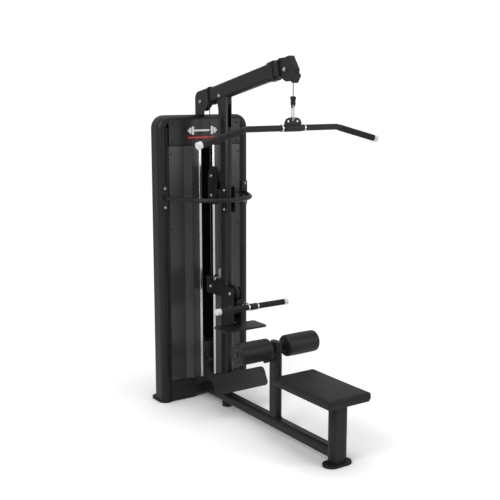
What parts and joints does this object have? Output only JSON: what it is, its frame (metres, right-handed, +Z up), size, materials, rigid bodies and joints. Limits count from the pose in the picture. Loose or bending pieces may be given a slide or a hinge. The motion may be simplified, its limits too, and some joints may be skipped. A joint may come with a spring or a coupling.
{
  "type": "lat pulldown machine",
  "caption": "Pin-loaded weight tower with a mast and rising boom, an overhead pulldown bar, a low row handle, a foot plate, a hold-down with rollers and a padded seat.",
  "frame": {"origin": "on the floor, under the middle of the bounding box", "axes": "+X across the machine, +Y from the seat towards the weight tower, +Z up"},
  "size_m": [1.2314, 1.6494, 2.1965],
  "materials": {
    "black_paint": "satin powder coat",
    "name_plate": "glossy",
    "smoked_panel": "glossy smoked",
    "bright_trim": "satin anodised",
    "chrome": "polished",
    "plate_iron": "satin paint",
    "guard_plastic": "fine grain",
    "pulley_plastic": "moulded",
    "rubber": "matt",
    "upholstery": "grained synthetic leather",
    "foam_roller": "foam with smooth skin",
    "white_cap": "moulded",
    "cable": "coated wire rope"
  },
  "bodies": {
    "frame": {"tower_frame": "black_paint", "tower_crossmembers": "black_paint", "kick_panels": "black_paint", "rear_cover": "black_paint", "name_plate": "name_plate", "shield_left": "smoked_panel", "shield_right": "smoked_panel", "slot_trims": "bright_trim", "guide_rods": "chrome", "resting_plates": "plate_iron", "mast": "black_paint", "boom": "black_paint", "rear_bracket": "black_paint", "head_housing": "black_paint", "head_guard": "guard_plastic", "base_beam": "black_paint", "front_leg": "black_paint", "rubber_feet": "rubber", "foot_plate": "black_paint", "shelf": "black_paint", "low_pulley_bracket": "black_paint", "fasteners": "chrome", "hoop_rail": "black_paint", "seat_rail": "black_paint", "seat_pad": "upholstery", "thigh_post": "black_paint", "guided_cables": "cable", "lat_cable_block": "cable", "row_cable_block": "cable", "lat_cable_drop": "cable", "lat_cable_stack": "cable", "row_cable_front": "cable"},
    "lat_cable_end": {"lat_ball_stop": "rubber"},
    "lat_bar": {"lat_swivel_eye": "chrome", "lat_snap_link": "chrome", "lat_hanger": "black_paint", "lat_bar": "black_paint", "lat_bar_grips": "rubber", "lat_bar_caps": "white_cap"},
    "row_handle": {"row_ball_stop": "rubber", "row_snap_link": "chrome", "row_eye_plate": "black_paint", "row_bar": "black_paint", "row_bar_caps": "white_cap"},
    "stack": {"stack_head": "chrome", "lifted_plates": "plate_iron"},
    "selector_pin": {"selector_pin": "guard_plastic"},
    "floating_block": {"floating_block": "black_paint"},
    "front_pulley": {"front_pulley": "pulley_plastic"},
    "middle_pulley": {"middle_pulley": "pulley_plastic"},
    "rear_pulley": {"rear_pulley": "pulley_plastic"},
    "block_upper_pulley": {"block_upper_pulley": "pulley_plastic"},
    "block_lower_pulley": {"block_lower_pulley": "pulley_plastic"},
    "low_rear_pulley": {"low_rear_pulley": "pulley_plastic"},
    "row_guide_upper": {"row_guide_upper": "pulley_plastic"},
    "row_guide_lower": {"row_guide_lower": "pulley_plastic"},
    "hold_down": {"hold_down_stem": "black_paint"},
    "roller_left": {"roller_left": "foam_roller"},
    "roller_right": {"roller_right": "foam_roller"},
    "pop_pin": {"pop_pin": "guard_plastic"}
  },
  "joints": [
    {"name": "lat_pull", "type": "slide", "parent": "frame", "child": "lat_cable_end", "axis": [0, 0, -1], "range_m": [0, 1], "deforming": ["lat_cable_drop"]},
    {"name": "lat_bar_swivel", "type": "hinge", "parent": "lat_cable_end", "child": "lat_bar", "pos_m": [0, -0.28975, 1.945], "axis": [0, 0, 1], "range_deg": [-50, 50]},
    {"name": "stack_lift", "type": "slide", "parent": "frame", "child": "stack", "axis": [0, 0, 1], "range_m": [0, 1], "deforming": ["lat_cable_stack"]},
    {"name": "selector_pin_pull", "type": "slide", "parent": "stack", "child": "selector_pin", "axis": [0, -1, 0], "range_m": [0, 0.075]},
    {"name": "row_pull", "type": "slide", "parent": "frame", "child": "row_handle", "axis": [0, -1, 0], "range_m": [0, 0.65], "stiffness_N_per_m": 50, "springref_m": -0.6, "deforming": ["row_cable_front"]},
    {"name": "block_travel", "type": "slide", "parent": "frame", "child": "floating_block", "axis": [0, 0, -1], "range_m": [0, 0.325], "deforming": ["lat_cable_block", "row_cable_block"]},
    {"name": "front_pulley_spin", "type": "hinge", "parent": "frame", "child": "front_pulley", "pos_m": [0, -0.23575, 2.123], "axis": [1, 0, 0], "range_deg": [0, 1062]},
    {"name": "middle_pulley_spin", "type": "hinge", "parent": "frame", "child": "middle_pulley", "pos_m": [0, 0.42625, 1.975], "axis": [1, 0, 0], "range_deg": [0, 1062]},
    {"name": "rear_pulley_spin", "type": "hinge", "parent": "frame", "child": "rear_pulley", "pos_m": [0, 0.64225, 1.936], "axis": [1, 0, 0], "range_deg": [0, 1062]},
    {"name": "block_upper_pulley_spin", "type": "hinge", "parent": "floating_block", "child": "block_upper_pulley", "pos_m": [0, 0.53425, 1.478], "axis": [1, 0, 0], "range_deg": [-1062, 0]},
    {"name": "block_lower_pulley_spin", "type": "hinge", "parent": "floating_block", "child": "block_lower_pulley", "pos_m": [0, 0.53425, 1.355], "axis": [1, 0, 0], "range_deg": [-346, 0]},
    {"name": "low_rear_pulley_spin", "type": "hinge", "parent": "frame", "child": "low_rear_pulley", "pos_m": [0, 0.53425, 0.77], "axis": [1, 0, 0], "range_deg": [-691, 0]},
    {"name": "row_guide_upper_spin", "type": "hinge", "parent": "frame", "child": "row_guide_upper", "pos_m": [0, 0.30525, 0.762], "axis": [1, 0, 0], "range_deg": [-811, 0]},
    {"name": "row_guide_lower_spin", "type": "hinge", "parent": "frame", "child": "row_guide_lower", "pos_m": [0, 0.30525, 0.67], "axis": [1, 0, 0], "range_deg": [0, 811]},
    {"name": "hold_down_adjust", "type": "slide", "parent": "frame", "child": "hold_down", "axis": [0, 0, 1], "range_m": [0, 0.1]},
    {"name": "pop_pin_pull", "type": "slide", "parent": "frame", "child": "pop_pin", "axis": [-1, 0, 0], "range_m": [-0.006, 0.01]},
    {"name": "roller_left_spin", "type": "hinge", "parent": "hold_down", "child": "roller_left", "pos_m": [-0.1675, -0.14375, 0.52], "axis": [1, 0, 0], "continuous": true},
    {"name": "roller_right_spin", "type": "hinge", "parent": "hold_down", "child": "roller_right", "pos_m": [0.1675, -0.14375, 0.52], "axis": [1, 0, 0], "continuous": true}
  ],
  "couplings": [
    {"joint": "stack_lift", "follows": "lat_pull", "ratio": 1},
    {"joint": "block_travel", "follows": "row_pull", "ratio": 0.5},
    {"joint": "front_pulley_spin", "follows": "lat_pull", "rad_per_m": 18.519},
    {"joint": "middle_pulley_spin", "follows": "lat_pull", "rad_per_m": 18.519},
    {"joint": "rear_pulley_spin", "follows": "lat_pull", "rad_per_m": 18.519},
    {"joint": "block_upper_pulley_spin", "follows": "lat_pull", "rad_per_m": -18.519},
    {"joint": "block_lower_pulley_spin", "follows": "row_pull", "rad_per_m": -9.2593},
    {"joint": "low_rear_pulley_spin", "follows": "row_pull", "rad_per_m": -18.519},
    {"joint": "row_guide_upper_spin", "follows": "row_pull", "rad_per_m": -21.739},
    {"joint": "row_guide_lower_spin", "follows": "row_pull", "rad_per_m": 21.739}
  ]
}
